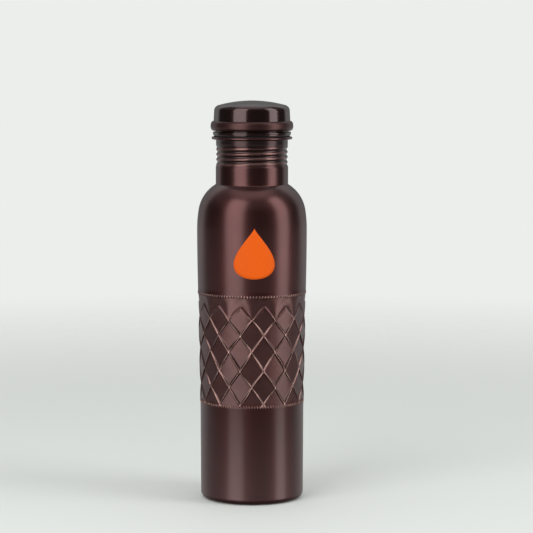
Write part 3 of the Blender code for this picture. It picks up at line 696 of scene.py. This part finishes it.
# the neck's thread also paints shade into its roots and into the collar under the lip
neckThread = {
    "Start": bottle["threadStart"] * mm, "Pitch": bottle["threadPitch"] * mm,
    "End": (bottle["threadStart"] + bottle["threadPitch"] * bottle["threadTurns"]) * mm,
    "Depth": (bottle["threadDepth"] + 0.2) * mm, "Raised": 0.0, "Rubbed": 0.35,
    "Painted Shade": 0.7, "Collar End": (bodyHigh.z - 1.9) * mm, "Material": satinCopper}
shell = bottleShell()
runTree(shell, diamondTree(), emboss)
runTree(shell, rolled, neckThread)
print("bottle shell:", len(shell.data.polygons), "faces")


def paintInside(item, material):
    # from the mouth down the inside is bare copper, and everything else stays brown
    item.data.materials.append(material)
    inside = item.data.attributes["inside"].data
    for face in item.data.polygons:
        face.material_index = inside[face.index].value


paintInside(shell, drawnCopper)


# Milled lines: short slanted bars cut by a roller, one line below the diamonds and one above them

def milledTree():
    tree, inputs = startTree("millLine", {
        "Geometry": "Geometry", "Material": "Material", "Count": "Int", "Radius": "Float", "Level": "Float",
        "Bar Width": "Float", "Bar Height": "Float", "Bar Rise": "Float", "Slant": "Float", "Seed": "Int"})
    circle = addNode(tree, "GeometryNodeMeshCircle", {"Vertices": inputs["Count"], "Radius": inputs["Radius"]})
    lifted = addNode(tree, "ShaderNodeCombineXYZ", {2: inputs["Level"]}).outputs[0]
    placed = addNode(tree, "GeometryNodeTransform", {0: circle.outputs[0], "Translation": lifted})
    place = addNode(tree, "GeometryNodeInputPosition").outputs[0]
    flat = addNode(tree, "ShaderNodeVectorMath", {0: place, 1: (1.0, 1.0, 0.0)}, operation="MULTIPLY").outputs[0]
    facing = addNode(tree, "FunctionNodeAlignRotationToVector", {"Vector": flat}, axis="X").outputs[0]
    sway = addNode(tree, "FunctionNodeRandomValue", {
        "Min": -0.12, "Max": 0.12, "Seed": inputs["Seed"]}, data_type="FLOAT").outputs[1]
    slant = addNode(tree, "ShaderNodeMath", {0: inputs["Slant"], 1: sway}, operation="ADD").outputs[0]
    lean = addNode(tree, "FunctionNodeAxisAngleToRotation", {"Axis": (1.0, 0.0, 0.0), "Angle": slant}).outputs[0]
    turned = addNode(tree, "FunctionNodeRotateRotation", {0: facing, 1: lean}, rotation_space="LOCAL").outputs[0]
    ball = addNode(tree, "GeometryNodeMeshUVSphere", {"Segments": 10, "Rings": 6, "Radius": 1.0})
    size = addNode(tree, "ShaderNodeCombineXYZ", {
        0: inputs["Bar Rise"], 1: inputs["Bar Width"], 2: inputs["Bar Height"]}).outputs[0]
    bar = addNode(tree, "GeometryNodeTransform", {0: ball.outputs[0], "Scale": size})
    spread = addNode(tree, "GeometryNodeInstanceOnPoints", {
        "Points": placed.outputs[0], "Instance": bar.outputs[0], "Rotation": turned})
    smooth = addNode(tree, "GeometryNodeSetShadeSmooth", {0: spread.outputs[0]})
    both = addNode(tree, "GeometryNodeJoinGeometry")
    tree.links.new(inputs["Geometry"], both.inputs[0])
    tree.links.new(smooth.outputs[0], both.inputs[0])
    stored = addNode(tree, "GeometryNodeStoreNamedAttribute", {
        "Geometry": both.outputs[0], "Name": "wearAndHighlight", "Value": 0.85}, data_type="FLOAT", domain="POINT")
    endTree(tree, stored.outputs[0], inputs["Material"])
    return tree


milled = {"Material": satinCopper, "Bar Rise": 0.34 * mm}
upperLine = {"Count": 114, "Radius": (bottle["upperWallRadius"] - 0.08) * mm, "Level": bottle["bandTop"] * mm,
             "Bar Width": 0.62 * mm, "Bar Height": 1.15 * mm, "Slant": -0.3, "Seed": 3}
lowerLineBars = {"Count": 120, "Radius": (bottle["bandBottomRadius"] - 0.02) * mm,
                 "Level": bottle["bandBottom"] * mm, "Bar Width": 0.5 * mm, "Bar Height": 1.0 * mm,
                 "Slant": 0.12, "Seed": 5}
milling = milledTree()
lines = bpy.data.objects.new("milledLines", bpy.data.meshes.new("milledLines"))
bpy.context.scene.collection.objects.link(lines)
runTree(lines, milling, {**milled, **upperLine})
runTree(lines, milling, {**milled, **lowerLineBars})
print("milled lines:", len(lines.data.polygons), "faces")


# The printed mark: a plain water drop

drop = {"height": 34.0, "width": 32.0, "centreHeight": 170.0, "centreSide": 1.6, "thickness": 0.08, "rings": 7}


def wallRadiusAt(height):
    share = (height - bottle["bandTop"]) / (bottle["shoulderStart"] - bottle["bandTop"])
    bulge = math.sin(min(max(share, 0), 1) * math.pi / 2)
    return bottle["upperWallRadius"] + (bottle["bodyRadius"] - bottle["upperWallRadius"]) * bulge


def dropOutline(steps=72):
    # a circle drawn out to a point at the top
    points = []
    for i in range(steps):
        turn = i * math.tau / steps
        pinch = math.sin(turn / 2) ** 1.5
        points.append((drop["width"] / 2 * math.sin(turn) * pinch * 1.25, math.cos(turn) * drop["height"] / 2))
    return points


def printedDrop():
    mesh = bmesh.new()

    def onWall(side, up):
        height = drop["centreHeight"] + up
        radius = wallRadiusAt(height) + drop["thickness"]
        angle = (drop["centreSide"] + side) / radius
        return mesh.verts.new((math.sin(angle) * radius * mm, -math.cos(angle) * radius * mm, height * mm))

    outline = dropOutline()
    loops = []
    for ring in range(drop["rings"]):
        share = 1 - ring / drop["rings"]
        loops.append([onWall(side * share, (up + 4) * share - 4) for side, up in outline])
    middle = onWall(0, -4)
    count = len(outline)
    for outer, inner in zip(loops, loops[1:]):
        for i in range(count):
            mesh.faces.new((outer[i], outer[(i + 1) % count], inner[(i + 1) % count], inner[i]))
    for i in range(count):
        mesh.faces.new((loops[-1][i], loops[-1][(i + 1) % count], middle))
    bmesh.ops.recalc_face_normals(mesh, faces=mesh.faces)
    if sum(face.normal.y for face in mesh.faces) > 0:
        bmesh.ops.reverse_faces(mesh, faces=mesh.faces)
    item = finishFlat("printedDrop", mesh, orangeInk)
    solid = item.modifiers.new("ink", "SOLIDIFY")
    solid.thickness = 0.16 * mm
    solid.offset = -1.0
    return item


def finishFlat(name, mesh, material):
    data = bpy.data.meshes.new(name)
    mesh.to_mesh(data)
    mesh.free()
    data.shade_smooth()
    item = bpy.data.objects.new(name, data)
    bpy.context.scene.collection.objects.link(item)
    item.data.materials.append(material)
    return item


mark = printedDrop()
print("printed mark made")


# The lid: cap shell, threaded plug and sealing ring

lid = {
    "around": 160, "capWall": 0.7, "footRadius": 25.9, "topRadius": 25.6, "cornerRadius": 4.0,
    "crownRadius": 85.0, "beadRadius": 27.97, "beadHeight": 6.6, "beadSteps": 14,
    "flangeRadius": 26.45, "flangeThickness": 1.7, "crestRadius": 23.25, "threadDepth": 0.6,
    "threadTurns": 3, "plugWall": 0.8, "noseRound": 1.6, "collarRadius": 24.6, "collarHeight": 6.0}


def crownLine(inset, steps):
    # from the side wall round the corner and over the crown
    sphereHeight = capHigh.z - lid["crownRadius"]
    cornerSide = lid["topRadius"] - lid["cornerRadius"]
    cornerHeight = sphereHeight + math.sqrt((lid["crownRadius"] - lid["cornerRadius"]) ** 2 - cornerSide ** 2)
    meet = math.degrees(math.atan2(cornerHeight - sphereHeight, cornerSide))
    corner = arcPoints((cornerSide, cornerHeight), lid["cornerRadius"] - inset, 0, meet, 10)
    crown = arcPoints((0, sphereHeight), lid["crownRadius"] - inset, meet, 89.7, steps)
    return corner + crown[1:]


def capShell():
    # the hem is rolled into a half-round bead
    low, wall = capLow.z - 0.4, lid["capWall"]
    foot, middle = lid["footRadius"], low + lid["beadHeight"] * 0.46
    swell = lid["beadRadius"] - foot

    def bead(inset):
        points = []
        for i in range(lid["beadSteps"] + 1):
            turn = math.radians(-90 + 180 * i / lid["beadSteps"])
            tall = lid["beadHeight"] * (0.46 if turn < 0 else 0.54) - inset
            points.append((foot - inset + swell * math.cos(turn) ** 0.8, middle + tall * math.sin(turn)))
        return points

    outer = bead(0) + [(foot, middle + lid["beadHeight"] * 0.54 + 0.6)]
    inner = bead(wall) + [(foot - wall, middle + lid["beadHeight"] * 0.54 + 0.6)]
    line = crownLine(0, 16)[::-1] + outer[::-1] + inner + crownLine(wall, 8)
    item = turnedItem("cap", line, lid["around"], 38)
    item.data.materials.append(glossCopper)
    item.data.materials.append(brushedCopper)
    for face in item.data.polygons:
        face.material_index = int(face.center.z < (low + lid["beadHeight"] + 0.2) * mm)
    return item


def threadedPlug():
    nose = plugLow.z
    root = lid["crestRadius"] - lid["threadDepth"]
    start = bottle["threadStart"]
    end = start + bottle["threadPitch"] * lid["threadTurns"]
    top = sealHigh.z + 0.8
    bore = root - lid["plugWall"]
    line = roundedLine([(0.5, nose), (root, nose, lid["noseRound"] * 0.6), (root, start - 0.1)], 15)
    line += evenLevels(root, start, end, 66)
    line += roundedLine([
        (root, end + 0.5), (root, top), (bore, top), (bore, nose + 0.8, 1.0), (0.5, nose + 0.8)], 15)
    return turnedItem("plug", line, lid["around"], 38)


def flangeRing():
    # the plug's flange, rolled back on itself with a groove at its edge, and the collar that holds the cap
    low = sealHigh.z - 0.1
    top = low + lid["flangeThickness"] + 0.7
    collarTop = top + lid["collarHeight"]
    bore = lid["crestRadius"] - lid["threadDepth"] - lid["plugWall"]
    edge, collar = lid["flangeRadius"], lid["collarRadius"]
    line = roundedLine([
        (bore, low + 0.2), (bore + 1.0, low, 0.3), (edge - 0.3, low, 0.35), (edge - 0.1, low + 0.9, 0.25),
        (edge - 0.8, low + 1.05, 0.15), (edge, low + 1.2, 0.3), (edge - 0.1, top, 0.5), (collar, top, 0.3),
        (collar, collarTop), (collar - 0.8, collarTop), (collar - 0.8, top, 0.4), (bore, top - 0.2)], 15)
    return turnedItem("flange", line, lid["around"], 38)


def sealRing():
    # a moulded ring with rounded edges, squeezed a little past its own thickness between lip and flange
    low, high = sealLow.z - 0.25, sealHigh.z - 0.05
    inner, outer = bottle["crestRadius"] - bottle["wall"], sealHigh.x - 0.3
    line = roundedLine([
        ((inner + outer) / 2, low), (outer, low, 0.35), (outer, high, 0.35), (inner, high, 0.35),
        (inner, low, 0.35), ((inner + outer) / 2 - 0.1, low)], 20)
    return turnedItem("sealRing", line, lid["around"], 60)


plugThread = {
    "Start": neckThread["Start"], "Pitch": neckThread["Pitch"],
    "End": (bottle["threadStart"] + bottle["threadPitch"] * lid["threadTurns"]) * mm,
    "Depth": lid["threadDepth"] * mm, "Raised": 1.0, "Rubbed": 0.0, "Material": drawnCopper}
cap = capShell()
plug = threadedPlug()
runTree(plug, rolled, plugThread)
flange = flangeRing()
flange.data.materials.append(glossCopper)
ring = sealRing()
ring.data.materials.append(blackSilicone)
print("lid made")


# Every piece goes on its body

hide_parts("bottle_body")
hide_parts("bottle_body")
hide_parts("bottle_body")
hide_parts("cap_shell")
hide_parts("threaded_plug")
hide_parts("threaded_plug")
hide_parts("sealing_ring")
for piece, body, slot in ((shell, "bottle", "antique_copper"), (lines, "bottle", "antique_copper"),
                          (mark, "bottle", "orange_print"), (cap, "lid", "polished_antique_copper"),
                          (plug, "lid", "bare_copper"), (flange, "lid", "polished_antique_copper"),
                          (ring, "seal", "silicone")):
    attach(piece, body)


# Floor, light and camera

def paleFloor():
    # a pale floor that fades out towards its rim, so no edge shows
    mesh = bmesh.new()
    bmesh.ops.create_circle(mesh, cap_ends=True, segments=96, radius=3.0)
    material, tree, shader = startMaterial("pale studio floor")
    place = addNode(tree, "ShaderNodeTexCoord").outputs["Object"]
    reach = addNode(tree, "ShaderNodeVectorMath", {0: place}, operation="LENGTH").outputs["Value"]
    fade = addNode(tree, "ShaderNodeMapRange", {
        "Value": reach, "From Min": 0.35, "From Max": 1.3, "To Min": 1.0, "To Max": 0.0},
        interpolation_type="SMOOTHSTEP").outputs[0]
    setShader(tree, shader, {"Base Color": hexColour("#dfe2df"), "Roughness": 0.6, "Alpha": fade})
    item = finishFlat("floor", mesh, material)
    item.location.z = -0.2 * mm
    item.visible_glossy = False  # the metal mirrors the soft boxes down to its foot


def softBox(name, azimuth, distance, height, size, power, colour="#ffffff"):
    # azimuth is measured from the camera's side, positive to the right
    data = bpy.data.lights.new(name, "AREA")
    data.shape = "RECTANGLE"
    data.size, data.size_y = size
    data.energy = power
    data.color = hexColour(colour)[:3]
    item = bpy.data.objects.new(name, data)
    turn = math.radians(azimuth)
    item.location = (math.sin(turn) * distance, -math.cos(turn) * distance, height)
    aim = Vector((0, 0, 0.15)) - item.location
    item.rotation_euler = aim.to_track_quat("-Z", "Y").to_euler()
    bpy.context.scene.collection.objects.link(item)


def studioWorld():
    # Pale to the eye from everywhere and an even glow on the floor. What the metal mirrors is dark in front
    # and bright behind, like a bottle in front of a lit backdrop.
    world = bpy.data.worlds.new("studio")
    bpy.context.scene.world = world
    world.use_nodes = True
    tree = world.node_tree
    tree.nodes.clear()
    direction = addNode(tree, "ShaderNodeTexCoord").outputs["Generated"]
    known = dict(zip("xyz", addNode(tree, "ShaderNodeSeparateXYZ", {0: direction}).outputs))
    workOut(tree, known, (
        ("backdrop", "RAMP", "y", 0.42, 0.54, 0.0, 0.55), ("straight", "RAMP", "y", 0.55, 0.98, 1.0, 0.22),
        ("lower", "RAMP", "z", -0.2, -0.06, 0.25, 1.0), ("behind", "MULTIPLY", "backdrop", "straight"),
        ("behindFaded", "MULTIPLY", "behind", "lower"), ("above", "RAMP", "z", 0.3, 0.7, 0.0, 0.22),
        ("ceiling", "RAMP", "z", 0.8, 0.95, 0.0, 0.9), ("floorNear", "RAMP", "z", -0.02, -0.24, 0.0, 0.45),
        ("floorEnd", "RAMP", "z", -0.28, -0.5, 1.0, 0.0),
        ("floorGlow", "MULTIPLY", "floorNear", "floorEnd"), ("upper", "ADD", "above", "ceiling"),
        ("both", "ADD", "upper", "floorGlow"), ("room", "ADD", "both", 0.06),
        ("glow", "ADD", "room", "behindFaded")))
    glow = known["glow"]
    mirrored = addNode(tree, "ShaderNodeBackground", {"Color": hexColour("#ffffff"), "Strength": glow})
    even = addNode(tree, "ShaderNodeBackground", {"Color": hexColour("#f4f6f4"), "Strength": 0.75})
    seen = addNode(tree, "ShaderNodeBackground", {"Color": hexColour("#eceeec"), "Strength": 1.0})
    ray = addNode(tree, "ShaderNodeLightPath").outputs
    lit = addNode(tree, "ShaderNodeMixShader", {
        0: ray["Is Diffuse Ray"], 1: mirrored.outputs[0], 2: even.outputs[0]})
    both = addNode(tree, "ShaderNodeMixShader", {0: ray["Is Camera Ray"], 1: lit.outputs[0], 2: seen.outputs[0]})
    addNode(tree, "ShaderNodeOutputWorld", {0: both.outputs[0]})


def studioCamera():
    data = bpy.data.cameras.new("camera")
    data.lens = 148.7
    data.sensor_width = 36.0
    data.shift_x = 0.0273
    item = bpy.data.objects.new("camera", data)
    item.location = (0.0, -1.49, 0.306)
    item.rotation_euler = (math.radians(90 - 5.67), 0, 0)
    bpy.context.scene.collection.objects.link(item)
    bpy.context.scene.camera = item


paleFloor()
softBox("left box", -37, 1.0, 0.35, (0.72, 2.0), 12)
softBox("right box", 68, 1.0, 0.35, (0.50, 2.0), 9)
studioWorld()
studioCamera()
bpy.context.scene.view_settings.view_transform = "Standard"
